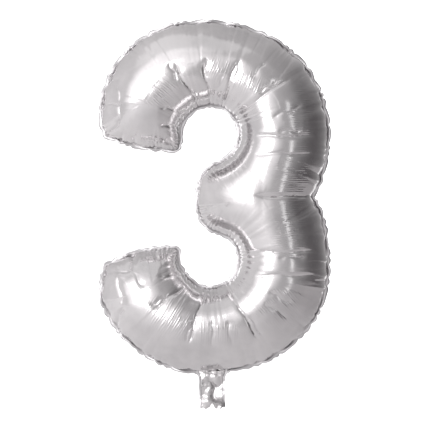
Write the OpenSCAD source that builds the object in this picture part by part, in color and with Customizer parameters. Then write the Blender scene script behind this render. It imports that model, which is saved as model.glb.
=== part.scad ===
// Foil number balloon, digit 3: two metallised film panels welded round their rim,
// a flat filling tail under the lower bowl, and a self-sealing film valve in its neck.
// Modelled inflated. X is the reader's right, Y runs from front to back, Z is up, and
// the origin is the bottom of the neck, where a ribbon is tied.

/* [Digit] */
// Radius of the tube's centre line round each bowl
bowl_r = 138; // [125:1:170]
// Radius of the inflated tube
tube_r = 83; // [66:1:95]
// Distance between the centres of the two bowls
bowl_gap = 242; // [200:1:290]
// How far the middle bar reaches left of the bowl centres
bar_reach = 26; // [10:1:60]
// Radius that rounds the corners of the middle bar's end
bar_corner_r = 24; // [8:1:40]
// Distance from the upper bowl's centre to the end weld of its arm
upper_arm_drop = 38; // [20:1:50]
// Tilt of the upper arm's end weld against the horizontal
upper_arm_tilt = 10; // [0:1:25]
// Distance from the lower bowl's centre to the end weld of its arm
lower_arm_drop = 37; // [20:1:50]
// Tilt of the lower arm's end weld against the horizontal
lower_arm_tilt = 15; // [0:1:25]
// How much rounder than the tube the closed ends are
nose_extra = 5; // [2:1:15]

/* [Film] */
// Wall of each foil panel
film_t = 0.5; // [0.3:0.1:1]
// Width of the weld that stands out round the rim
weld_w = 6; // [3:0.5:10]

/* [Neck and tail] */
// Height of the neck between the rim and the tie point
neck_h = 14; // [10:1:30]
// Width of the neck and of the tail
tail_w = 50; // [42:1:70]
// Radius of the flare where the neck meets the rim
flare_r = 9; // [5:1:10]
// Length of the tail under its fold line
tail_l = 48; // [30:1:90]
// Radius of the tail's bottom corners
tail_corner_r = 7; // [2:1:12]
// Space left above and below the fold line, for the fold to turn in
fold_gap = 2; // [1.8:0.1:3]

/* [Valve] */
// Width of the valve sleeve
valve_w = 30; // [20:1:34]
// Wall of each valve film
valve_t = 0.2; // [0.1:0.05:0.3]
// Length of the valve flaps inside the bowl
flap_l = 60; // [30:1:90]
// How far the valve stops short of the tail's mouth
inlet_inset = 4; // [1:1:10]
// Free space on each side of the valve sleeve
sleeve_clear = 1; // [0.5:0.1:2]

/* [Hidden] */
$fn = 96;

seam_t = 2 * film_t;                  // the two films, melted together
film_y = seam_t / 2 + film_t;         // outer face of a film that lies on the weld
passage_w = valve_w + 2 * sleeve_clear;
rim_r = bowl_r + tube_r + weld_w;     // outer edge of the welded rim
low_z = neck_h + rim_r;               // centre of the lower bowl
high_z = low_z + bowl_gap;            // centre of the upper bowl
nose_r = tube_r + nose_extra;
weld_in = film_t;                     // the weld also lies under the panels' own edges
body_floor = low_z - bowl_r - tube_r; // lowest point of the inflated tube
neck_into_tube = 4;                   // how far the neck runs up before the tube trims it
valve_gap = 0.2;                      // between the two valve films
flap_gap = 0.6;                       // between an anchor and its flap
anchor_floor = 2;                     // from the tie point up to the anchors
anchor_top = body_floor - film_t;
flap_floor = anchor_top + flap_gap;
fold_z = -fold_gap;                   // the tail's fold line
tail_top = fold_z - fold_gap;
tail_end = fold_z - tail_l;
far = 3 * rim_r;                      // longer than anything it cuts
mouth_dir = 230;                      // direction from a bowl's centre into its open mouth
shared_from = 30;                     // the arm's stretch of a bowl and the bar's stretch
shared_to = 50;                       // both hold what lies between these directions
foil = [0.78, 0.77, 0.78];
clear_film = [0.85, 0.9, 0.93];

// ---- the inflated digit -------------------------------------------------

// A bowl's tube, all the way round
module ring_tube(r) {
    rotate([90, 0, 0])
        rotate_extrude()
            translate([bowl_r, 0])
                circle(r);
}

// A flat outline, drawn out through the whole depth
module through() {
    rotate([90, 0, 0])
        linear_extrude(height = 2 * far, center = true)
            children();
}

// The swell of the film away from an end weld, seen along the weld. The flat facets
// cross the tube at clear angles; the last one leaves it at the full depth of the tube.
module nose_profile(r) {
    half = [[0.53 * r, -0.85 * r], [0.84 * r, -0.55 * r], [1.1 * r, 0], [1.1 * r, far]];
    left = [for (i = [len(half) - 1:-1:0]) [-half[i][0], half[i][1]]];
    polygon(concat([[0, -r]], half, left));
}

// What lies above an arm's end weld and under the swell of the film towards it
module arm_end(inset, drop, tilt) {
    rotate([0, tilt, 0])
        translate([0, 0, nose_r - drop])
            rotate([90, 0, 90])
                linear_extrude(height = 2 * far, center = true)
                    nose_profile(nose_r - inset);
}

// The same for the upright weld at the end of the middle bar
module bar_end(inset) {
    translate([nose_r - bar_reach, 0, 0])
        rotate([0, 0, -90])
            linear_extrude(height = 2 * far, center = true)
                nose_profile(nose_r - inset);
}

// Outline of the middle bar with its rounded corner, above the middle line
module bar_outline(grow) {
    corner = bar_corner_r + grow;
    top = bowl_gap / 2 - bowl_r + tube_r + grow;
    translate([-bar_reach + bar_corner_r, top - corner])
        circle(corner);
    translate([-bar_reach - grow, -1])
        square([far, top - corner + 1]);
    translate([-bar_reach + bar_corner_r, -1])
        square([far, top + far]);
}

// The upper bowl with its arm, as if it were full of gas, down to the middle line
module bowl(inset, drop, tilt) {
    intersection() {
        ring_tube(tube_r - inset);
        union() {
            intersection() {
                arm_end(inset, drop, tilt);
                through() sector(shared_from, mouth_dir);
            }
            intersection() {
                bar_end(inset);
                through()
                    intersection() {
                        sector(mouth_dir - 360, shared_to);
                        translate([0, -bowl_gap / 2])
                            bar_outline(-inset);
                        translate([-far, -bowl_gap / 2])
                            square(2 * far);
                    }
            }
        }
    }
}

module both_bowls(inset) {
    translate([0, 0, high_z])
        bowl(inset, upper_arm_drop, upper_arm_tilt);
    translate([0, 0, low_z])
        mirror([0, 0, 1])
            bowl(inset, lower_arm_drop, lower_arm_tilt);
}

// ---- flat outlines in the plane of the rim ------------------------------

module sector(a0, a1) {
    steps = 8;
    polygon(concat([[0, 0]], [for (i = [0:steps]) let (a = a0 + (a1 - a0) * i / steps)
        far * [cos(a), sin(a)]]));
}

module ring(grow) {
    difference() {
        circle(bowl_r + tube_r + grow);
        circle(bowl_r - tube_r - grow);
    }
}

module bowl_outline(grow, drop, tilt) {
    intersection() {
        ring(grow);
        sector(shared_from, mouth_dir);
        rotate(-tilt)
            translate([-far, -drop - grow])
                square(2 * far);
    }
    intersection() {
        ring(grow);
        sector(mouth_dir - 360, shared_to);
        translate([0, -bowl_gap / 2])
            bar_outline(grow);
        translate([-far, -bowl_gap / 2])
            square(2 * far);
    }
}

module digit_outline(grow) {
    translate([0, high_z])
        bowl_outline(grow, upper_arm_drop, upper_arm_tilt);
    translate([0, low_z])
        mirror([0, 1])
            bowl_outline(grow, lower_arm_drop, lower_arm_tilt);
}

// The neck up to a given height, flared where it meets the rim
module neck_outline(top) {
    half = tail_w / 2;
    translate([-half, 0])
        square([tail_w, top]);
    for (side = [-1, 1])
        difference() {
            translate([side > 0 ? half : -half - flare_r, neck_h - flare_r])
                square([flare_r, flare_r + weld_w]);
            translate([side * (half + flare_r), neck_h - flare_r])
                circle(flare_r);
        }
}

module tail_outline() {
    half = tail_w / 2;
    translate([-half, tail_end + tail_corner_r])
        square([tail_w, tail_top - tail_end - tail_corner_r]);
    translate([-half + tail_corner_r, tail_end])
        square([tail_w - 2 * tail_corner_r, tail_corner_r]);
    for (side = [-1, 1])
        translate([side * (half - tail_corner_r), tail_end + tail_corner_r])
            circle(tail_corner_r);
}

module passage(z0, z1) {
    translate([-passage_w / 2, z0])
        square([passage_w, z1 - z0]);
}

// ---- layers, as flat outlines between two depths ------------------------

module layer(y0, y1) {
    translate([0, y1, 0])
        rotate([90, 0, 0])
            linear_extrude(height = y1 - y0)
                children();
}

// side is -1 for the front and 1 for the back
module side_layer(side, inner, outer) {
    if (side < 0)
        layer(-outer, -inner) children();
    else
        layer(inner, outer) children();
}

module half_space(side) {
    translate([-far, side < 0 ? -seam_t / 2 - 2 * far : seam_t / 2, -far])
        cube([2 * far, 2 * far, 2 * far + high_z]);
}

// Half of the hollow skin, with its half of the neck
module panel(side) {
    intersection() {
        difference() {
            union() {
                both_bowls(0);
                layer(-film_y, film_y)
                    neck_outline(body_floor + neck_into_tube);
            }
            both_bowls(film_t);
        }
        half_space(side);
    }
}

module valve_layer(side, z0, z1, outer) {
    side_layer(side, valve_gap / 2, outer)
        translate([-valve_w / 2, z0])
            square([valve_w, z1 - z0]);
}

// ---- the pieces ---------------------------------------------------------

module front_panel() { color(foil) panel(-1); }

module back_panel() { color(foil) panel(1); }

module edge_seam() {
    color(foil)
        layer(-seam_t / 2, seam_t / 2)
            difference() {
                union() {
                    difference() {
                        digit_outline(weld_w);
                        digit_outline(-weld_in);
                    }
                    neck_outline(body_floor);
                }
                passage(-1, body_floor + 2 * weld_in + 1);
            }
}

module valve_flap(side) {
    color(clear_film)
        valve_layer(side, flap_floor, flap_floor + flap_l, valve_gap / 2 + valve_t);
}

module valve_front_flap() { valve_flap(-1); }

module valve_back_flap() { valve_flap(1); }

// Where a valve film is welded to the panel that it lies against
module valve_anchor(side) {
    color(clear_film)
        valve_layer(side, anchor_floor, anchor_top, seam_t / 2);
}

module valve_front_anchor() { valve_anchor(-1); }

module valve_back_anchor() { valve_anchor(1); }

module tail_film(side) {
    color(foil)
        side_layer(side, seam_t / 2, film_y)
            tail_outline();
}

module tail_front_film() { tail_film(-1); }

module tail_back_film() { tail_film(1); }

module tail_side_welds() {
    color(foil)
        layer(-seam_t / 2, seam_t / 2)
            difference() {
                tail_outline();
                passage(tail_end - 1, tail_top + 1);
            }
}

module valve_inlet(side) {
    color(clear_film)
        valve_layer(side, tail_end + inlet_inset, tail_top, valve_gap / 2 + valve_t);
}

module valve_front_inlet() { valve_inlet(-1); }

module valve_back_inlet() { valve_inlet(1); }

front_panel();
back_panel();
edge_seam();
valve_front_flap();
valve_back_flap();
valve_front_anchor();
valve_back_anchor();
tail_front_film();
tail_back_film();
tail_side_welds();
valve_front_inlet();
valve_back_inlet();
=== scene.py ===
"""Foil number balloon: the inflated film, its welded rim, the filling tail and the clear valve."""
import math

import bpy
import numpy as np
from bpy.props import FloatProperty, FloatVectorProperty, PointerProperty
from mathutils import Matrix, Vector, noise
from mathutils.geometry import delaunay_2d_cdt


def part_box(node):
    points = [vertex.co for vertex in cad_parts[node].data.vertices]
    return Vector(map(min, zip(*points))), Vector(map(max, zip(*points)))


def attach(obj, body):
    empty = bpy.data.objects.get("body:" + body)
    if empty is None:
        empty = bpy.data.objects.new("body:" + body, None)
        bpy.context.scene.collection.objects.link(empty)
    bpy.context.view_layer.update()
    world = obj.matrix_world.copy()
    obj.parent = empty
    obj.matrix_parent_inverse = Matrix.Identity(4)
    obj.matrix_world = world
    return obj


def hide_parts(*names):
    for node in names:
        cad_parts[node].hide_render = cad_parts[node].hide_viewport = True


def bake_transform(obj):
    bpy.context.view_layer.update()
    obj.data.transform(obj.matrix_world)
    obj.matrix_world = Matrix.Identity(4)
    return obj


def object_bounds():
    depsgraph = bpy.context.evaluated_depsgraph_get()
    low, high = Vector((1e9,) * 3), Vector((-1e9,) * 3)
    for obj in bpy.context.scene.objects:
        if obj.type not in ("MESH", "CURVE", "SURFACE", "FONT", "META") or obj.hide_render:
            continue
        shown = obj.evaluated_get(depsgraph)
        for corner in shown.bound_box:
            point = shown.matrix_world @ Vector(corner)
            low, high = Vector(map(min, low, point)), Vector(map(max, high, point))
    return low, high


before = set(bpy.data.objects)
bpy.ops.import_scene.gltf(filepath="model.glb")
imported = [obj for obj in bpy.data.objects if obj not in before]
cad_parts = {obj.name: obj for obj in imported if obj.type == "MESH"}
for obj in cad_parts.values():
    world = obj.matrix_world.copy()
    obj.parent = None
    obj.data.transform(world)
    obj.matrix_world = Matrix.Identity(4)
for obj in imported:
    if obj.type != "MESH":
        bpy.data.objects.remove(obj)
CAD_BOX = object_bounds()

bl_info = {
    "name": "Foil number balloon",
    "version": (1, 0, 0),
    "blender": (4, 5, 0),
    "location": "3D View > Sidebar > Balloon",
    "description": "Two foil films welded flat, filled with gas and creased, with a filling tail "
                   "and a clear valve",
    "category": "Object",
}

TAIL_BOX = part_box("tail_front_film")
INLET_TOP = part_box("valve_front_inlet")[1][2]

# Folds, in millimetres: start, end, how deep, and how far the fold's flanks reach.
# Those of the bowls run out from a bay, and are measured from the bay's centre.
UPPER_FOLDS = [
    ((-23, 54), (-70, 132), 5.0, 15),
    ((2, 56), (-16, 137), 4.5, 14),
    ((21, 54), (50, 137), 4.5, 14),
    ((78, 106), (106, 136), 1.8, 8),
    ((46, 34), (150, 104), 5.0, 16),
    ((118, 30), (176, 54), 1.8, 8),
    ((88, -6), (200, -6), 4.0, 13),
    ((86, -40), (196, -40), 2.6, 12),
    ((-45, 38), (-98, 50), 3.2, 12),
    ((-52, 18), (-98, 12), 2.6, 10),
    ((-62, 100), (-80, 134), 2.2, 5),
    ((-8, 104), (-8, 144), 2.2, 5),
    ((14, 80), (24, 112), 1.8, 5),
    ((44, 96), (58, 140), 2.2, 5),
    ((92, 78), (128, 100), 2.2, 5),
    ((130, 4), (176, 4), 1.8, 5),
]
LOWER_FOLDS = [
    ((-12, -62), (-43, -162), 5.0, 15),
    ((34, -58), (92, -152), 5.0, 16),
    ((4, -116), (4, -168), 2.0, 8),
    ((32, -116), (41, -166), 2.0, 8),
    ((-50, -50), (-110, -94), 4.0, 14),
    ((-54, -28), (-100, -34), 2.6, 10),
    ((56, 16), (202, 16), 4.0, 13),
    ((86, -29), (196, -29), 3.0, 12),
    ((104, -82), (150, -112), 2.2, 6),
    ((112, -60), (156, -84), 1.8, 6),
    ((-32, -112), (-50, -158), 2.2, 5),
    ((-86, -70), (-116, -88), 2.0, 5),
    ((74, -106), (98, -144), 2.2, 5),
    ((130, 6), (184, 6), 1.8, 5),
]
# From the middle of the waist.
WAIST_FOLDS = [((84, 0), (190, 0), 6.0, 30), ((96, 0), (200, 0), 3.0, 8)]
# Short folds that divide the arms' round ends, with heights from the tie point.
ARM_FOLDS = [
    ((-214, 598), (-176, 584), 3.4, 9),
    ((-180, 590), (-173, 540), 3.0, 9),
    ((-216, 538), (-170, 538), 4.0, 9),
    ((-173, 540), (-178, 494), 3.4, 9),
    ((-214, 478), (-174, 496), 3.6, 9),
    ((-150, 456), (-146, 478), 2.4, 7),
    ((-110, 452), (-108, 474), 2.2, 7),
    ((-153, 258), (-152, 218), 4.2, 10),
    ((-216, 212), (-150, 220), 3.6, 10),
    ((-180, 206), (-168, 150), 3.6, 10),
    ((-168, 152), (-190, 96), 3.6, 10),
    ((-152, 220), (-128, 186), 2.6, 9),
    ((-106, 262), (-104, 238), 2.4, 7),
]

# Patches of fine ridges on the film: centre across and up, half sizes, turn and pitch of the ridges.
RIDGED = [
    ((-0.106, 0.565), (0.040, 0.050), -51, 0.0044),
    ((0.170, 0.508), (0.075, 0.026), 90, 0.0044),
    ((0.150, 0.392), (0.075, 0.040), 90, 0.0042),
    ((0.150, 0.292), (0.070, 0.038), 90, 0.0044),
    ((-0.080, 0.128), (0.062, 0.045), 32, 0.0046),
    ((0.130, 0.140), (0.060, 0.052), -42, 0.0044),
    ((-0.005, 0.100), (0.080, 0.030), 2, 0.0046),
    ((0.040, 0.590), (0.085, 0.030), 22, 0.0046),
]

PLEAT = 0.024                     # from one pleat of the outer seam to the next
BEND = 0.088                      # radius that the film turns round, next to the seam
RINGS = 10                        # rings of points that follow that turn
FRONT, BACK, WELD = 0, 1, 2       # what a triangle of the film belongs to

KEY_PLACE = (-1.55, -2.95, 1.0)   # the key light
FLOOR_DROP = 0.40                 # floor under the lowest point
FLOOR_MIDDLE = 1.3
FLOOR_SIZE = (6.0, 9.0)
WALL_HEIGHT = 2.6
SWEEP = 1.2                       # radius between the floor and the backdrop


# Sizes and colours

class FilmShape(bpy.types.PropertyGroup):
    """The seam's outline on the filled balloon, and how far the films stand out."""
    bay_x: FloatProperty(
        name="Bays across", description="Centres of the open bays, across", default=-0.003, unit="LENGTH")
    upper_bay_z: FloatProperty(
        name="Upper bay height", description="Height of the upper bay's centre", default=0.482,
        unit="LENGTH")
    lower_bay_z: FloatProperty(
        name="Lower bay height", description="Height of the lower bay's centre", default=0.239,
        unit="LENGTH")
    bay_radius: FloatProperty(
        name="Bay radius", description="Radius of the seam round a bay", default=0.057, unit="LENGTH")
    waist_x: FloatProperty(
        name="Waist across", description="How far out the waist's notch is", default=0.193, unit="LENGTH")
    waist_z: FloatProperty(
        name="Waist height", description="Height of the waist's notch", default=0.361, unit="LENGTH")
    depth: FloatProperty(
        name="Depth", description="Front to back of the filled film", default=0.184, unit="LENGTH")
    weld_width: FloatProperty(
        name="Weld width", description="Width of the flat weld outside the seam", default=0.0068,
        unit="LENGTH")
    mesh_size: FloatProperty(
        name="Mesh size", description="Side of the film's triangles before they are split",
        default=0.0038, unit="LENGTH")


class Creases(bpy.types.PropertyGroup):
    """Folds and pleats of the filled film."""
    fold_depth: FloatProperty(name="Fold depth", description="Scale of every fold", default=1.15)
    pleat_depth: FloatProperty(
        name="Pleat depth", description="Depth of the short pleats at the outer seam", default=0.0030,
        unit="LENGTH")
    bay_pleat_depth: FloatProperty(
        name="Bay pleat depth", description="Depth of the short pleats inside the bays", default=0.0030,
        unit="LENGTH")
    scallop: FloatProperty(
        name="Scallop", description="How far the pleats pull the seam in", default=0.0020, unit="LENGTH")
    weld_wave: FloatProperty(
        name="Weld wave", description="How far the flat weld waves to and fro", default=0.0024,
        unit="LENGTH")


class TailSize(bpy.types.PropertyGroup):
    """The filling tail under the digit."""
    root_width: FloatProperty(
        name="Root width", description="Width where the tail leaves the seam", default=0.064,
        unit="LENGTH")
    width: FloatProperty(name="Width", description="Width of the tail", default=0.0505, unit="LENGTH")
    crumple: FloatProperty(
        name="Crumple", description="Height of the crumpled film's folds", default=0.0060, unit="LENGTH")
    edge: FloatProperty(
        name="Edge weld", description="Width of the tail's side welds", default=0.005, unit="LENGTH")


class Finish(bpy.types.PropertyGroup):
    """Colours and gloss."""
    foil: FloatVectorProperty(
        name="Foil", description="Colour of the silver foil", subtype="COLOR", size=3, min=0, max=1,
        default=(0.80, 0.785, 0.79))
    foil_dark: FloatVectorProperty(
        name="Foil shade", description="Colour of the foil where it is rubbed", subtype="COLOR", size=3,
        min=0, max=1, default=(0.66, 0.648, 0.655))
    weld: FloatVectorProperty(
        name="Weld", description="Colour of the welded rim", subtype="COLOR", size=3, min=0, max=1,
        default=(0.80, 0.79, 0.80))
    gloss: FloatProperty(
        name="Roughness", description="Roughness of the foil", default=0.16, min=0, max=1,
        subtype="FACTOR")
    valve: FloatVectorProperty(
        name="Valve film", description="Colour of the clear valve film", subtype="COLOR", size=3, min=0,
        max=1, default=(0.86, 0.88, 0.90))
    floor: FloatVectorProperty(
        name="Floor", description="Colour of the floor", subtype="COLOR", size=3, min=0, max=1,
        default=(0.90, 0.90, 0.90))


class Studio(bpy.types.PropertyGroup):
    """Camera and light."""
    distance: FloatProperty(
        name="Camera distance", description="From the digit to the camera", default=5.0, unit="LENGTH")
    view_height: FloatProperty(
        name="View height", description="Height of what the camera sees", default=0.8206, unit="LENGTH")
    aim_x: FloatProperty(
        name="Aim across", description="Middle of the view, across", default=-0.001, unit="LENGTH")
    aim_z: FloatProperty(
        name="Aim height", description="Middle of the view, height", default=0.3319, unit="LENGTH")


# The flat outline

def arc(cx, cz, r, a0, a1, step=0.001):
    """Points on a circle, from one angle to another."""
    n = max(2, int(math.ceil(abs(a1 - a0) * r / step)))
    angles = [a0 + (a1 - a0) * i / n for i in range(n + 1)]
    return [(cx + r * math.cos(a), cz + r * math.sin(a)) for a in angles]


def through(pts, step=0.001):
    """A smooth curve through the points, given in millimetres."""
    p = [np.array(q, float) / 1000 for q in pts]
    p = [2 * p[0] - p[1]] + p + [2 * p[-1] - p[-2]]
    out = []
    for a, b, c, d in zip(p, p[1:], p[2:], p[3:]):
        t0 = 0
        t1 = t0 + np.linalg.norm(b - a) ** 0.5
        t2 = t1 + np.linalg.norm(c - b) ** 0.5
        t3 = t2 + np.linalg.norm(d - c) ** 0.5
        n = max(2, int(np.linalg.norm(c - b) / step))
        for t in t1 + (t2 - t1) * np.arange(n) / n:
            ab = (t1 - t) / (t1 - t0) * a + (t - t0) / (t1 - t0) * b
            bc = (t2 - t) / (t2 - t1) * b + (t - t1) / (t2 - t1) * c
            cd = (t3 - t) / (t3 - t2) * c + (t - t2) / (t3 - t2) * d
            abc = (t2 - t) / (t2 - t0) * ab + (t - t0) / (t2 - t0) * bc
            bcd = (t3 - t) / (t3 - t1) * bc + (t - t1) / (t3 - t1) * cd
            out.append(tuple((t2 - t) / (t2 - t1) * abc + (t - t1) / (t2 - t1) * bcd))
    return out + [(pts[-1][0] / 1000, pts[-1][1] / 1000)]


def outline(shape):
    """The seam: from the waist round the upper bowl, its arm, the bay and the bar, then the lower bowl."""
    waist = (shape.waist_x * 1000, shape.waist_z * 1000)
    upper = through([waist, (206, 384), (219, 430), (224, 490), (213, 550), (176, 618), (112, 668),
                     (35, 694), (-40, 697), (-105, 682), (-160, 644), (-200, 588), (-214, 535),
                     (-213, 500), (-206, 479)])
    upper += through([(-206, 479), (-180, 470), (-140, 458), (-72, 451)])[1:]
    upper += through([(-67, 452), (-62, 470), (-61, 494), (-54, 510)])[1:]
    upper += arc(shape.bay_x, shape.upper_bay_z, shape.bay_radius, math.radians(151), math.radians(-50))
    bar = through([(20, 428), (0, 418), (-17, 402), (-26, 378), (-28, 357), (-26, 336), (-19, 315),
                   (-4, 299), (18, 290)])
    lower = arc(shape.bay_x, shape.lower_bay_z, shape.bay_radius, math.radians(50), math.radians(-148))
    lower += through([(-56, 214), (-65, 232), (-66, 256)])
    lower += through([(-72, 260), (-110, 259), (-160, 247), (-206, 227)])
    lower += through([(-207, 225), (-213, 196), (-212, 160), (-196, 124), (-165, 84), (-120, 50),
                      (-70, 29), (-10, 21), (50, 28), (110, 47), (162, 83), (200, 130), (220, 185),
                      (224, 240), (218, 300), (206, 338), waist])
    return upper + bar + lower[:-1]


def even(pts, step):
    """The closed loop again, with its points evenly spaced."""
    p = np.array(pts + [pts[0]])
    s = np.concatenate([[0], np.cumsum(np.linalg.norm(np.diff(p, axis=0), axis=1))])
    t = np.arange(int(round(s[-1] / step))) * s[-1] / int(round(s[-1] / step))
    return np.stack([np.interp(t, s, p[:, 0]), np.interp(t, s, p[:, 1])], 1)


def inside(q, loop):
    """Which of the points lie inside the loop."""
    r = np.zeros(len(q), bool)
    for (ax, az), (bx, bz) in zip(loop, np.roll(loop, -1, 0)):
        cross = (az > q[:, 1]) != (bz > q[:, 1])
        r ^= cross & (q[:, 0] < (bx - ax) * (q[:, 1] - az) / (bz - az + 1e-15) + ax)
    return r


def distance(q, loop):
    """Distance of each point to the loop, and how far along the loop its nearest point is."""
    d = np.full(len(q), 9.0)
    along = np.zeros(len(q))
    edges = np.roll(loop, -1, 0) - loop
    start = np.concatenate([[0], np.cumsum(np.linalg.norm(edges, axis=1))])
    for p, e, s in zip(loop, edges, start):
        t = np.clip(((q - p) @ e) / max(e @ e, 1e-15), 0, 1)
        here = np.linalg.norm(q - p - t[:, None] * e, axis=1)
        closer = here < d
        d[closer] = here[closer]
        along[closer] = s + t[closer] * np.linalg.norm(e)
    return d, along


def outward(loop):
    """The loop's outward directions, of length 1."""
    tangent = np.roll(loop, -1, 0) - np.roll(loop, 1, 0)
    out = np.stack([tangent[:, 1], -tangent[:, 0]], 1)
    return out / np.linalg.norm(out, axis=1)[:, None]


def film_plan(shape, creases):
    """Plan of one film with its weld: points, triangles, which lie inside the seam, and the seam."""
    step = shape.mesh_size
    seam = even(outline(shape), step)
    out = outward(seam)
    near_bay = np.minimum(np.hypot(seam[:, 0] - shape.bay_x, seam[:, 1] - shape.upper_bay_z),
                          np.hypot(seam[:, 0] - shape.bay_x, seam[:, 1] - shape.lower_bay_z))
    pull = creases.scallop * (0.25 + 0.75 * step01(0.07, 0.10, near_bay))
    s = np.arange(len(seam)) * step
    seam = seam - out * (pull * (1 - wave(s, PLEAT, 1.0)) * (0.4 + 0.6 * wave(s, 0.083, 5.0)))[:, None]
    wide = shape.weld_width * (0.55 + 0.45 * np.sqrt(wave(s, PLEAT, 1.0)))
    rim = seam + out * wide[:, None]
    rim = rim[(distance(rim, seam)[0] > 0.90 * wide) & ~inside(rim, seam)]
    n, m = len(seam), len(rim)
    # rings that close up towards the seam, where the film turns edge-on
    rings = []
    for k in range(1, RINGS + 1):
        inset = BEND * (1 - math.cos(k * step / BEND))
        ring = seam - out * inset
        away, _ = distance(ring, seam)
        rings.append(ring[(away > 0.93 * inset) & inside(ring, seam)])
    deepest = BEND * (1 - math.cos((RINGS + 0.6) * step / BEND))
    lo, hi = seam.min(0), seam.max(0)
    row = step * math.sqrt(3) / 2
    grid = []
    for j in range(int((hi[1] - lo[1]) / row) + 1):
        x = np.arange(lo[0] + (step / 2 if j % 2 else 0), hi[0], step)
        grid.append(np.stack([x, np.full(len(x), lo[1] + row * (j + 0.5))], 1))
    grid = np.concatenate(grid)
    grid = grid[inside(grid, seam)]
    grid = grid[distance(grid, seam)[0] > deepest]
    edges = [(i, (i + 1) % n) for i in range(n)] + [(n + i, n + (i + 1) % m) for i in range(m)]
    points = [Vector(p) for p in np.concatenate([seam, rim] + rings + [grid])]
    found = delaunay_2d_cdt(points, edges, [], 1, 1e-7)
    v, f = np.array([tuple(p) for p in found[0]]), np.array([tuple(t) for t in found[2]])
    a, b = v[f[:, 1]] - v[f[:, 0]], v[f[:, 2]] - v[f[:, 0]]
    area = a[:, 0] * b[:, 1] - a[:, 1] * b[:, 0]
    f[area < 0] = f[area < 0][:, ::-1]
    f = f[np.abs(area) > 1e-12]
    middle = v[f].mean(1)
    f, middle = f[inside(middle, rim)], middle[inside(middle, rim)]
    return v, f, inside(middle, seam), seam


def swell(v, f, fixed):
    """Height that gas gives a film held at its seam: round where the outline is a plain strip."""
    i, j, weight, load = [], [], [], np.zeros(len(v))
    for a, b, c in ((0, 1, 2), (1, 2, 0), (2, 0, 1)):
        p, q = v[f[:, a]] - v[f[:, c]], v[f[:, b]] - v[f[:, c]]
        cross = np.abs(p[:, 0] * q[:, 1] - p[:, 1] * q[:, 0])
        half = 0.5 * (p * q).sum(1) / np.maximum(cross, 1e-14)
        i += [f[:, a], f[:, b]]
        j += [f[:, b], f[:, a]]
        weight += [half, half]
        load += np.bincount(f[:, a], cross / 6, len(v))
    i, j, weight = (np.concatenate(t) for t in (i, j, weight))
    total = np.bincount(i, weight, len(v))
    free = ~fixed

    def stiff(u):
        return np.where(free, total * u - np.bincount(i, weight * u[j], len(v)), 0)

    u = np.zeros(len(v))
    rest = np.where(free, 2 * load, 0)
    scale = np.where(free, 1 / np.maximum(total, 1e-12), 0)
    z = scale * rest
    way, gain = z.copy(), rest @ z
    first = gain
    for _ in range(3000):
        push = stiff(way)
        size = gain / (way @ push)
        u += size * way
        rest -= size * push
        z = scale * rest
        new = rest @ z
        if new < first * 1e-16:
            break
        way, gain = z + new / gain * way, new
    return np.sqrt(np.maximum(u, 0))


def split(f, parts):
    """Each triangle into four. parts are arrays with one row per point."""
    e = np.sort(np.concatenate([f[:, [0, 1]], f[:, [1, 2]], f[:, [2, 0]]]), 1)
    unique, where = np.unique(e, axis=0, return_inverse=True)
    where = where.reshape(3, -1)
    n = len(parts[0])
    a, b, c = f.T
    ab, bc, ca = n + where[0], n + where[1], n + where[2]
    f = np.concatenate([np.stack(t, 1) for t in ((a, ab, ca), (ab, b, bc), (ca, bc, c), (ab, bc, ca))])
    return f, [np.concatenate([p, (p[unique[:, 0]] + p[unique[:, 1]]) / 2]) for p in parts]


def relax(c, f, fixed, rounds, amount=0.5):
    """Evens out the surface, leaving the fixed points."""
    e = np.unique(np.sort(np.concatenate([f[:, [0, 1]], f[:, [1, 2]], f[:, [2, 0]]]), 1), axis=0)
    i, j = np.concatenate([e[:, 0], e[:, 1]]), np.concatenate([e[:, 1], e[:, 0]])
    n = np.maximum(np.bincount(i, minlength=len(c)), 1)
    for _ in range(rounds):
        mean = np.stack([np.bincount(i, c[j, k], len(c)) / n for k in range(3)], 1)
        c = np.where(fixed[:, None], c, c + (mean - c) * amount)
    return c


def point_normals(c, f):
    n = np.cross(c[f[:, 1]] - c[f[:, 0]], c[f[:, 2]] - c[f[:, 0]])
    total = np.stack([np.bincount(f.ravel(), np.repeat(n[:, k], 3), len(c)) for k in range(3)], 1)
    return total / np.maximum(np.linalg.norm(total, axis=1), 1e-12)[:, None]


def wave(s, pitch, seed):
    """Uneven pleats: valleys about a pitch apart, 0 in a valley and 1 between valleys."""
    t = s / pitch
    t = t + 0.35 * np.sin(t * 1.37 + seed) + 0.25 * np.sin(t * 2.71 + 2.3 * seed)
    return np.abs(np.sin(t * math.pi))


def step01(a, b, x):
    """A smooth step from 0 at a to 1 at b."""
    t = np.clip((x - a) / (b - a), 0, 1)
    return t * t * (3 - 2 * t)


def fold(x, z, start, end, depth, reach):
    """A fold on a line, in metres, deepest past its middle: a wide dip with a tight crease in it."""
    p, q = np.array(start) / 1000, np.array(end) / 1000
    e = q - p
    length = np.linalg.norm(e)
    t = ((x - p[0]) * e[0] + (z - p[1]) * e[1]) / length ** 2
    side = ((x - p[0]) * e[1] - (z - p[1]) * e[0]) / length
    side = side + 0.0016 * np.sin(t * 9 + start[0])
    away = np.abs(side) + 0.9 * length * (np.maximum(0, -t) + np.maximum(0, t - 1))
    along = step01(-0.06, 0.15, t) * (0.80 + 0.20 * t) * (1 - step01(0.80, 1.06, t))
    wide = 0.5 * depth * np.exp(-away * 1000 / (1.3 * reach))
    tight = min(0.50 * depth, 2.6) * np.exp(-away * 1000 / 2.3)
    return -along * (wide + tight) / 1000


def shade(ob, angle):
    """Smooth shading, with edges kept where faces meet at more than the angle in degrees."""
    bpy.ops.object.select_all(action="DESELECT")
    ob.select_set(True)
    bpy.context.view_layer.objects.active = ob
    bpy.ops.object.shade_smooth_by_angle(angle=math.radians(angle))
    ob.select_set(False)


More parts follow.
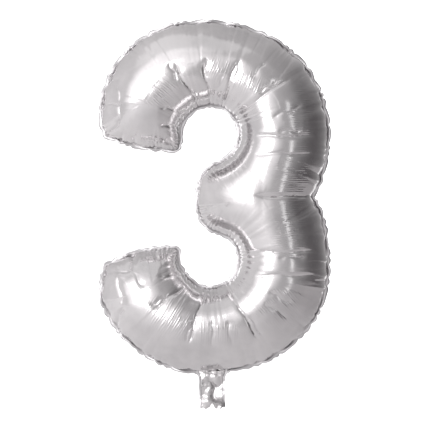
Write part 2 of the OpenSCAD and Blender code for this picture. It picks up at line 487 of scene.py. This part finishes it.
def make(name, c, f, material, angle=60):
    """A new piece from points and faces, without the points that no face uses."""
    keep = np.unique(f.ravel())
    new = np.zeros(len(c), int)
    new[keep] = np.arange(len(keep))
    mesh = bpy.data.meshes.new(name)
    mesh.from_pydata(c[keep].tolist(), [], new[f].tolist())
    mesh.update()
    mesh.materials.append(material)
    ob = bpy.data.objects.new(name, mesh)
    bpy.context.scene.collection.objects.link(ob)
    shade(ob, angle)
    return ob


def apply(ob, kind, **values):
    """Adds a modifier and applies it."""
    mod = ob.modifiers.new(kind.lower(), kind)
    for k, value in values.items():
        setattr(mod, k, value)
    bpy.ops.object.select_all(action="DESELECT")
    ob.select_set(True)
    bpy.context.view_layer.objects.active = ob
    bpy.ops.object.modifier_apply(modifier=mod.name)
    ob.select_set(False)


# Materials

def start_material(name):
    """A material with only a shader and its output."""
    m = bpy.data.materials.new(name)
    m.use_nodes = True
    m.node_tree.nodes.clear()
    out = m.node_tree.nodes.new("ShaderNodeOutputMaterial")
    shader = m.node_tree.nodes.new("ShaderNodeBsdfPrincipled")
    m.node_tree.links.new(shader.outputs[0], out.inputs[0])
    return m, m.node_tree, shader


def node(tree, kind, inputs=None, **values):
    """A new node, with its inputs linked or set, and its own values."""
    n = tree.nodes.new(kind)
    for k, value in values.items():
        setattr(n, k, value)
    for k, value in (inputs or {}).items():
        if isinstance(value, bpy.types.NodeSocket):
            tree.links.new(value, n.inputs[k])
        else:
            n.inputs[k].default_value = value
    return n


def patch(tree, place, centre, size, turn, pitch):
    """Fine parallel ridges in one soft-edged oval patch."""
    at = node(tree, "ShaderNodeMapping", {"Vector": place, "Location": centre}, vector_type="TEXTURE")
    at.inputs["Rotation"].default_value = (0, turn, 0)
    ridges = node(tree, "ShaderNodeTexWave", {"Vector": at.outputs[0], "Scale": 0.314 / pitch,
                                              "Distortion": 2.2, "Detail": 1.0, "Detail Scale": 0.5},
                  wave_type="BANDS", bands_direction="X", wave_profile="SIN")
    oval = node(tree, "ShaderNodeMapping", {"Vector": at.outputs[0], "Scale": (size[0], 1.0, size[1])},
                vector_type="TEXTURE")
    ball = node(tree, "ShaderNodeTexGradient", {"Vector": oval.outputs[0]}, gradient_type="SPHERICAL")
    soft = node(tree, "ShaderNodeMapRange", {"Value": ball.outputs[0], "From Min": 0.0, "From Max": 0.5},
                interpolation_type="SMOOTHSTEP")
    streak = node(tree, "ShaderNodeMapping", {"Vector": at.outputs[0], "Scale": (0.006, 0.02, 0.030)},
                  vector_type="TEXTURE")
    some = node(tree, "ShaderNodeTexNoise", {"Vector": streak.outputs[0], "Scale": 1.0, "Detail": 1.0})
    gaps = node(tree, "ShaderNodeMapRange", {"Value": some.outputs[0], "From Min": 0.40, "From Max": 0.62},
                interpolation_type="SMOOTHSTEP")
    where = node(tree, "ShaderNodeMath", {0: gaps.outputs[0], 1: soft.outputs[0]}, operation="MULTIPLY")
    both = node(tree, "ShaderNodeMath", {0: ridges.outputs[1], 1: where.outputs[0]}, operation="MULTIPLY")
    return both.outputs[0]


def foil_material(finish):
    """Bright silver with rubbed clouds and patches of fine ridges."""
    m, tree, shader = start_material("silver foil")
    place = node(tree, "ShaderNodeTexCoord").outputs["Object"]
    cloud = node(tree, "ShaderNodeTexNoise", {"Vector": place, "Scale": 9.0, "Detail": 4.0, "Roughness": 0.6})
    tint = node(tree, "ShaderNodeValToRGB", {"Fac": cloud.outputs[0]})
    tint.color_ramp.elements[0].position, tint.color_ramp.elements[1].position = 0.35, 0.62
    tint.color_ramp.elements[0].color = (*finish.foil_dark, 1)
    tint.color_ramp.elements[1].color = (*finish.foil, 1)
    tree.links.new(tint.outputs[0], shader.inputs["Base Color"])
    shader.inputs["Metallic"].default_value = 1.0
    rub = node(tree, "ShaderNodeTexNoise", {"Vector": place, "Scale": 26.0, "Detail": 6.0, "Roughness": 0.65})
    dull = node(tree, "ShaderNodeMapRange", {"Value": rub.outputs[0], "From Min": 0.3, "From Max": 0.75,
                                             "To Min": finish.gloss * 0.75, "To Max": finish.gloss * 1.6})
    tree.links.new(dull.outputs[0], shader.inputs["Roughness"])
    total = None
    for centre, size, turn, pitch in RIDGED:
        one = patch(tree, place, (centre[0], 0, centre[1]), size, math.radians(turn), pitch)
        if total is None:
            total = one
        else:
            total = node(tree, "ShaderNodeMath", {0: total, 1: one}, operation="ADD").outputs[0]
    fine = node(tree, "ShaderNodeTexNoise", {"Vector": place, "Scale": 60.0, "Detail": 3.0, "Roughness": 0.5})
    slack = node(tree, "ShaderNodeMath", {0: fine.outputs[0], 1: 0.10}, operation="MULTIPLY")
    height = node(tree, "ShaderNodeMath", {0: total, 1: slack.outputs[0]}, operation="ADD")
    bump = node(tree, "ShaderNodeBump", {"Height": height.outputs[0], "Strength": 0.30, "Distance": 0.0009})
    tree.links.new(bump.outputs[0], shader.inputs["Normal"])
    return m


def weld_material(finish):
    """Two layers melted flat, finely dented."""
    m, tree, shader = start_material("welded foil")
    place = node(tree, "ShaderNodeTexCoord").outputs["Object"]
    cloud = node(tree, "ShaderNodeTexNoise", {"Vector": place, "Scale": 70.0, "Detail": 4.0,
                                              "Roughness": 0.6})
    tint = node(tree, "ShaderNodeValToRGB", {"Fac": cloud.outputs[0]})
    tint.color_ramp.elements[0].position, tint.color_ramp.elements[1].position = 0.3, 0.7
    tint.color_ramp.elements[0].color = (*[v * 0.78 for v in finish.weld], 1)
    tint.color_ramp.elements[1].color = (*finish.weld, 1)
    tree.links.new(tint.outputs[0], shader.inputs["Base Color"])
    shader.inputs["Metallic"].default_value = 1.0
    dull = node(tree, "ShaderNodeMapRange", {"Value": cloud.outputs[0], "To Min": 0.22, "To Max": 0.40})
    tree.links.new(dull.outputs[0], shader.inputs["Roughness"])
    dents = node(tree, "ShaderNodeTexVoronoi", {"Vector": place, "Scale": 420.0}, feature="SMOOTH_F1")
    bump = node(tree, "ShaderNodeBump", {"Height": dents.outputs[0], "Strength": 0.35, "Distance": 0.0006})
    tree.links.new(bump.outputs[0], shader.inputs["Normal"])
    return m


def tail_material(finish):
    """Silver, creased in every direction."""
    m, tree, shader = start_material("tail foil")
    place = node(tree, "ShaderNodeTexCoord").outputs["Object"]
    cloud = node(tree, "ShaderNodeTexNoise", {"Vector": place, "Scale": 45.0, "Detail": 5.0,
                                              "Roughness": 0.6})
    tint = node(tree, "ShaderNodeValToRGB", {"Fac": cloud.outputs[0]})
    tint.color_ramp.elements[0].position, tint.color_ramp.elements[1].position = 0.3, 0.65
    tint.color_ramp.elements[0].color = (*finish.foil_dark, 1)
    tint.color_ramp.elements[1].color = (*finish.foil, 1)
    tree.links.new(tint.outputs[0], shader.inputs["Base Color"])
    shader.inputs["Metallic"].default_value = 1.0
    dull = node(tree, "ShaderNodeMapRange", {"Value": cloud.outputs[0], "To Min": 0.14, "To Max": 0.34})
    tree.links.new(dull.outputs[0], shader.inputs["Roughness"])
    cells = node(tree, "ShaderNodeTexVoronoi", {"Vector": place, "Scale": 95.0}, feature="DISTANCE_TO_EDGE")
    bump = node(tree, "ShaderNodeBump", {"Height": cells.outputs[0], "Strength": 0.5, "Distance": 0.002})
    tree.links.new(bump.outputs[0], shader.inputs["Normal"])
    return m


def valve_material(finish):
    """Clear thin film."""
    m, tree, shader = start_material("clear valve film")
    place = node(tree, "ShaderNodeTexCoord").outputs["Object"]
    cloud = node(tree, "ShaderNodeTexNoise", {"Vector": place, "Scale": 120.0, "Detail": 3.0})
    tint = node(tree, "ShaderNodeValToRGB", {"Fac": cloud.outputs[0]})
    tint.color_ramp.elements[0].color = (*[v * 0.93 for v in finish.valve], 1)
    tint.color_ramp.elements[1].color = (*finish.valve, 1)
    tree.links.new(tint.outputs[0], shader.inputs["Base Color"])
    dull = node(tree, "ShaderNodeMapRange", {"Value": cloud.outputs[0], "To Min": 0.08, "To Max": 0.2})
    tree.links.new(dull.outputs[0], shader.inputs["Roughness"])
    shader.inputs["Alpha"].default_value = 0.45
    bump = node(tree, "ShaderNodeBump", {"Height": cloud.outputs[0], "Strength": 0.2, "Distance": 0.0004})
    tree.links.new(bump.outputs[0], shader.inputs["Normal"])
    return m


# Pieces

class BALLOON_OT_inflated_film(bpy.types.Operator):
    """Fill the two films and make the front foil, the back foil and the welded rim"""
    bl_idname = "balloon.inflated_film"
    bl_label = "Inflated film"

    def execute(self, context):
        scene = context.scene
        shape, creases, finish = scene.film_shape, scene.creases, scene.finish
        v, f, body, loop = film_plan(shape, creases)
        kind = np.where(body, FRONT, WELD)
        f, (v,) = split(f, [v])
        kind = np.tile(kind, 4)
        film, weld = f[kind == FRONT], f[kind == WELD]
        used = np.zeros(len(v), bool)
        used[film] = True
        away, along = distance(v, loop)
        seam = used & (away < 1e-6)
        high = swell(v, film, seam | ~used)
        high = high * shape.depth / 2 / high.max()
        # a little flatter next to the seam
        high *= 0.94 + 0.06 * step01(0, 0.05, away)
        loose = used & ~seam
        twin = np.arange(len(v))
        twin[loose] = len(v) + np.arange(loose.sum())
        front = np.stack([v[:, 0], -high, v[:, 1]], 1)
        c = np.concatenate([front, front[loose] * (1, -1, 1)])
        f = np.concatenate([film, twin[film][:, ::-1], weld])
        kind = np.repeat([FRONT, BACK, WELD], [len(film), len(film), len(weld)])
        fixed = np.concatenate([seam | ~used, np.zeros(loose.sum(), bool)])
        away, along = (np.concatenate([t, t[loose]]) for t in (away, along))
        # from here on, away is measured along the film and not in the plan
        away = BEND * np.arccos(np.clip(1 - away / BEND, -1, 1))
        c = relax(c, f[kind != WELD], fixed, 3)
        in_front, in_back = np.zeros(len(c), bool), np.zeros(len(c), bool)
        in_front[f[kind == FRONT]] = True
        in_back[f[kind == BACK]] = True
        n = point_normals(c, f[kind != WELD])
        x, z = c[:, 0] - shape.bay_x, c[:, 2]
        move = np.zeros(len(c))
        for folds, height in ((UPPER_FOLDS, shape.upper_bay_z), (LOWER_FOLDS, shape.lower_bay_z),
                              (WAIST_FOLDS, shape.waist_z), (ARM_FOLDS, 0)):
            for start, end, depth, reach in folds:
                move += fold(x, z - height, start, end, depth * creases.fold_depth, reach)
        near_bay = np.minimum(np.hypot(x, z - shape.upper_bay_z), np.hypot(x, z - shape.lower_bay_z))
        bay = 1 - step01(0.105, 0.150, near_bay)
        # the back's pleats lie elsewhere than the front's
        side = np.where(in_back, 1.7, 0.0)
        outer = np.exp(-away / 0.030) * (wave(along, PLEAT, 1.0) - 0.75) * creases.pleat_depth
        outer += np.exp(-away / 0.055) * (wave(along, 0.051, 2.0 + side) - 0.70) * creases.pleat_depth
        inner = np.exp(-away / 0.045) * (wave(along, 0.0095, 3.0 + side) - 0.70) * creases.bay_pleat_depth
        move += outer * (1 - bay) + inner * bay
        move[~(in_front | in_back)] = 0
        move *= step01(0, 0.006, away)
        c = c + n * move[:, None]
        in_weld = np.zeros(len(c), bool)
        in_weld[weld] = True
        flutter = creases.weld_wave * np.sin(along / 0.0115 + 1.5 * np.sin(along / 0.037)) * (1 - 0.6 * bay)
        on_seam = np.concatenate([seam, np.zeros(loose.sum(), bool)])
        c[:, 1] += np.where(in_weld & ~on_seam, flutter, 0)
        foil = foil_material(finish)
        front = make("front_foil", c, f[kind == FRONT], foil)
        rear = make("back_foil", c, f[kind == BACK], foil)
        strip = f[kind == WELD]
        middle = c[strip].mean(1)
        # the rim has a gap where the tail leaves it
        under = (np.abs(middle[:, 0]) < scene.tail_size.root_width / 2 - 0.002) & (middle[:, 2] < 0.05)
        rim = make("welded_rim", c, strip[~under], weld_material(finish))
        apply(rim, "SOLIDIFY", thickness=0.0005, offset=0)
        for ob, cad in ((front, "front_panel"), (rear, "back_panel"), (rim, "edge_seam")):
            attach(ob, "balloon")
            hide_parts(cad)
        bottom = c[on_seam & (np.abs(c[:, 0]) < 0.06) & (c[:, 2] < 0.08)]
        order = np.argsort(bottom[:, 0])
        scene["seam_x"], scene["seam_y"], scene["seam_z"] = (bottom[order, k].tolist() for k in range(3))
        return {"FINISHED"}


def crumple(x, z, size, scene):
    """How far the tail's film stands off its middle plane, and a small sideways pull."""
    top = np.interp(x, scene["seam_x"], scene["seam_z"])
    free = step01(0.0, 0.030, top - z)
    a = (x * 0.86 + z * 0.5) / 0.019
    b = (x * -0.42 + z * 0.9) / 0.013
    rough = [noise.noise(Vector((p * 55, q * 55, 3.1))) for p, q in zip(x.ravel(), z.ravel())]
    rough = np.array(rough).reshape(x.shape)
    ridge = 1 - 2 * np.abs(np.sin(a + 1.2 * rough))
    cross = 1 - 2 * np.abs(np.sin(b + 0.9 * rough + 0.8))
    y = size * free * (0.62 * ridge + 0.38 * cross + 0.35 * rough)
    return y + np.interp(x, scene["seam_x"], scene["seam_y"]) * (1 - free), 0.10 * size * free * cross


def tail_sheet(name, lo, hi, side, gap, material, scene, mouth=0.0, down=1.0, begin=1.0,
               across=44, rows=72):
    """One film of the tail from side to side, -1 to 1, on one side of the middle plane.

    mouth is how far it stands off at the seam, down how much of the way down it goes, and begin
    the height it starts at where that is below the seam.
    """
    size = scene.tail_size
    u, v = np.meshgrid(np.linspace(lo, hi, across + 1), np.linspace(0, 1, rows + 1))
    half = (size.width + (size.root_width - size.width) * (1 - step01(0, 0.24, v))) / 2
    x = half * u
    top = np.minimum(np.interp(x, scene["seam_x"], scene["seam_z"]) + 0.0006, begin)
    notch, corners = 0.0095 * np.exp(-(u / 0.16) ** 2), 0.0035 * np.abs(u) ** 5
    low = TAIL_BOX[0][2] + notch + corners + 0.0012 * np.sin(u * 17)
    z = top + (low - top) * v * down
    y, pull = crumple(x, z, size.crumple, scene)
    bulge = gap * (0.15 + 0.85 * (1 - np.clip(np.abs(u), 0, 1) ** 2)) * step01(0.0, 0.15, v)
    bulge += mouth * (1 - u ** 4) * (1 - step01(0.14, 0.34, v))
    points = np.stack([x + pull, y + side * (0.0003 + bulge), z], -1).reshape(-1, 3)
    i = np.arange(rows)[:, None] * (across + 1) + np.arange(across)[None]
    quad = np.stack([i, i + across + 1, i + across + 2, i + 1], -1).reshape(-1, 4)
    if side > 0:
        quad = quad[:, ::-1]
    ob = make(name, points, quad, material, 70)
    apply(ob, "SOLIDIFY", thickness=0.00025, offset=0)
    return ob


class BALLOON_OT_filling_tail(bpy.types.Operator):
    """Make the crumpled filling tail and the clear inlets inside it"""
    bl_idname = "balloon.filling_tail"
    bl_label = "Filling tail"

    def execute(self, context):
        scene = context.scene
        foil, weld = tail_material(scene.finish), weld_material(scene.finish)
        clear = valve_material(scene.finish)
        edge = 1 - 2 * scene.tail_size.edge / scene.tail_size.width
        sheets = []
        for place, side in (("front", -1), ("back", 1)):
            sheet = tail_sheet("tail_" + place + "_foil", -edge, edge, side, 0.0016, foil, scene,
                               0.0024)
            sheets.append((sheet, "tail_" + place + "_film"))
        for place, side in (("front", -1), ("back", 1)):
            sheet = tail_sheet("valve_inlet_" + place, -0.55, 0.55, side, 0.0006, clear, scene,
                               0, 0.90, INLET_TOP)
            sheets.append((sheet, "valve_" + place + "_inlet"))
        left = tail_sheet("tail_edge_welds", -1, -edge, -1, 0.0, weld, scene, across=6)
        right = tail_sheet("right", edge, 1, -1, 0.0, weld, scene, across=6)
        bpy.ops.object.select_all(action="DESELECT")
        right.select_set(True)
        left.select_set(True)
        context.view_layer.objects.active = left
        bpy.ops.object.join()
        left.select_set(False)
        sheets.append((left, "tail_side_welds"))
        for ob, cad in sheets:
            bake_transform(ob)
            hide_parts(cad)
        return {"FINISHED"}


class BALLOON_OT_valve_film(bpy.types.Operator):
    """Give the valve's clear films inside the balloon their finish"""
    bl_idname = "balloon.valve_film"
    bl_label = "Valve film"

    def execute(self, context):
        clear = valve_material(context.scene.finish)
        for name in ("valve_front_flap", "valve_back_flap", "valve_front_anchor", "valve_back_anchor"):
            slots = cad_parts[name].material_slots
            if not slots:
                raise RuntimeError(name + " has no material slot")
            for slot in slots:
                slot.material = clear
        return {"FINISHED"}


class BALLOON_OT_stage(bpy.types.Operator):
    """Make the pale floor and backdrop, the studio lights and the camera"""
    bl_idname = "balloon.stage"
    bl_label = "Stage"

    def execute(self, context):
        scene = context.scene
        studio = scene.studio
        bpy.ops.object.select_all(action="DESELECT")
        bpy.ops.mesh.primitive_plane_add(size=1, location=(0, FLOOR_MIDDLE, CAD_BOX[0][2] - FLOOR_DROP))
        floor = context.object
        floor.name = "floor"
        bpy.ops.transform.resize(value=(*FLOOR_SIZE, 1))
        bpy.ops.object.mode_set(mode="EDIT")
        bpy.ops.mesh.select_all(action="DESELECT")
        bpy.ops.object.mode_set(mode="OBJECT")
        # the backdrop rises from the floor's far edge
        for e in floor.data.edges:
            e.select = all(floor.data.vertices[i].co.y > 0.1 for i in e.vertices)
        bpy.ops.object.mode_set(mode="EDIT")
        bpy.ops.mesh.select_mode(type="EDGE")
        bpy.ops.mesh.extrude_region_move(TRANSFORM_OT_translate={"value": (0, 0, WALL_HEIGHT)})
        bpy.ops.object.mode_set(mode="OBJECT")
        bpy.ops.object.transform_apply(location=True, rotation=True, scale=True)
        apply(floor, "BEVEL", width=SWEEP, segments=24, limit_method="ANGLE", angle_limit=math.radians(40))
        shade(floor, 60)
        m, tree, shader = start_material("pale floor")
        place = node(tree, "ShaderNodeTexCoord").outputs["Object"]
        cloud = node(tree, "ShaderNodeTexNoise", {"Vector": place, "Scale": 3.0, "Detail": 2.0})
        tint = node(tree, "ShaderNodeValToRGB", {"Fac": cloud.outputs[0]})
        tint.color_ramp.elements[0].color = (*[v * 0.985 for v in scene.finish.floor], 1)
        tint.color_ramp.elements[1].color = (*scene.finish.floor, 1)
        depth = node(tree, "ShaderNodeSeparateXYZ", {"Vector": place})
        # painted shade: the floor's colour is darker in front of the digit and paler behind it
        near = node(tree, "ShaderNodeMapRange", {"Value": depth.outputs[1], "From Min": 2.4, "From Max": 3.2})
        painted_shade_mix = node(tree, "ShaderNodeMix", {0: near.outputs[0], 6: (0.60, 0.585, 0.592, 1),
                                             7: tint.outputs[0]}, data_type="RGBA")
        tree.links.new(painted_shade_mix.outputs[2], shader.inputs["Base Color"])
        shader.inputs["Roughness"].default_value = 0.9
        # painted light: the backdrop and the floor behind the digit glow, more on the left side than on the
        # right
        shader.inputs["Emission Color"].default_value = (1, 1, 1, 1)
        glow = node(tree, "ShaderNodeMapRange", {"Value": depth.outputs[1], "From Min": 2.6, "From Max": 3.6,
                                                 "To Min": 0.0, "To Max": 0.72})
        across = node(tree, "ShaderNodeMapRange", {"Value": depth.outputs[0], "From Min": -1.5,
                                                   "From Max": 1.5, "To Min": 0.44, "To Max": 0.02})
        both = node(tree, "ShaderNodeMath", {0: glow.outputs[0], 1: across.outputs[0]}, operation="ADD")
        tree.links.new(both.outputs[0], shader.inputs["Emission Strength"])
        floor.data.materials.append(m)

        world = bpy.data.worlds.new("studio")
        scene.world = world
        world.use_nodes = True
        tree = world.node_tree
        tree.nodes.clear()
        out = tree.nodes.new("ShaderNodeOutputWorld")
        way = node(tree, "ShaderNodeTexCoord").outputs["Generated"]
        parts = node(tree, "ShaderNodeSeparateXYZ", {"Vector": way})
        ramp = node(tree, "ShaderNodeMapRange", {"Value": parts.outputs[0], "From Min": -1.0,
                                                 "From Max": 1.0})
        grey = node(tree, "ShaderNodeValToRGB", {"Fac": ramp.outputs[0]})
        e = grey.color_ramp.elements
        e[0].color, e[1].color = (0.80, 0.78, 0.79, 1), (0.12, 0.112, 0.116, 1)
        for place, value in ((0.30, 0.66), (0.50, 0.56), (0.70, 0.49), (0.86, 0.30)):
            e.new(place).color = (value, value * 0.975, value * 0.985, 1)
        # the key light's glow round about it, which gives its reflection a soft edge
        near = node(tree, "ShaderNodeVectorMath", {0: way, 1: Vector(KEY_PLACE).normalized()},
                    operation="DOT_PRODUCT")
        glow = node(tree, "ShaderNodeMapRange", {"Value": near.outputs["Value"], "From Min": 0.74,
                                                 "From Max": 0.96, "To Min": 1.0, "To Max": 1.9},
                    interpolation_type="SMOOTHSTEP")
        sky = node(tree, "ShaderNodeBackground", {"Color": grey.outputs[0], "Strength": glow.outputs[0]})
        tree.links.new(sky.outputs[0], out.inputs[0])

        aim = (0, 0, 0.36)
        self.light("key", KEY_PLACE, (1.9, 1.8), 22, aim)
        self.light("top", (-0.6, -0.8, 2.8), (3.2, 2.0), 4, aim)
        self.light("right strip", (1.75, -2.7, 0.5), (0.40, 2.0), 1.9, aim)

        data = bpy.data.cameras.new("camera")
        camera = bpy.data.objects.new("camera", data)
        scene.collection.objects.link(camera)
        camera.location = (studio.aim_x, -studio.distance, studio.aim_z)
        camera.rotation_euler = (math.pi / 2, 0, 0)
        data.sensor_width = 36
        data.lens = 36 * studio.distance / studio.view_height
        data.clip_end = 60
        scene.camera = camera
        scene.view_settings.view_transform = "Standard"
        return {"FINISHED"}

    def light(self, name, place, size, power, aim):
        """An area light that faces its aim."""
        data = bpy.data.lights.new(name, "AREA")
        data.shape = "RECTANGLE"
        data.size, data.size_y = size
        data.energy = power
        ob = bpy.data.objects.new(name, data)
        ob.location = place
        ob.rotation_euler = (Vector(aim) - Vector(place)).to_track_quat("-Z", "Y").to_euler()
        bpy.context.scene.collection.objects.link(ob)


class BALLOON_PT_panel(bpy.types.Panel):
    """Every step, in order"""
    bl_idname = "BALLOON_PT_panel"
    bl_label = "Foil balloon"
    bl_space_type = "VIEW_3D"
    bl_region_type = "UI"
    bl_category = "Balloon"

    def draw(self, context):
        for name in STEPS:
            self.layout.operator("balloon." + name)
        for group in GROUPS:
            box = self.layout.box()
            for key in GROUPS[group].__annotations__:
                box.prop(getattr(context.scene, group), key)


GROUPS = {"film_shape": FilmShape, "creases": Creases, "tail_size": TailSize, "finish": Finish,
          "studio": Studio}
STEPS = ("inflated_film", "filling_tail", "valve_film", "stage")
CLASSES = (FilmShape, Creases, TailSize, Finish, Studio, BALLOON_OT_inflated_film, BALLOON_OT_filling_tail,
           BALLOON_OT_valve_film, BALLOON_OT_stage, BALLOON_PT_panel)


def register():
    for c in CLASSES:
        bpy.utils.register_class(c)
    for name, group in GROUPS.items():
        setattr(bpy.types.Scene, name, PointerProperty(type=group))


def unregister():
    for name in GROUPS:
        delattr(bpy.types.Scene, name)
    for c in reversed(CLASSES):
        bpy.utils.unregister_class(c)


def main():
    register()
    for name in STEPS:
        getattr(bpy.ops.balloon, name)()


if __name__ == "__main__":
    main()
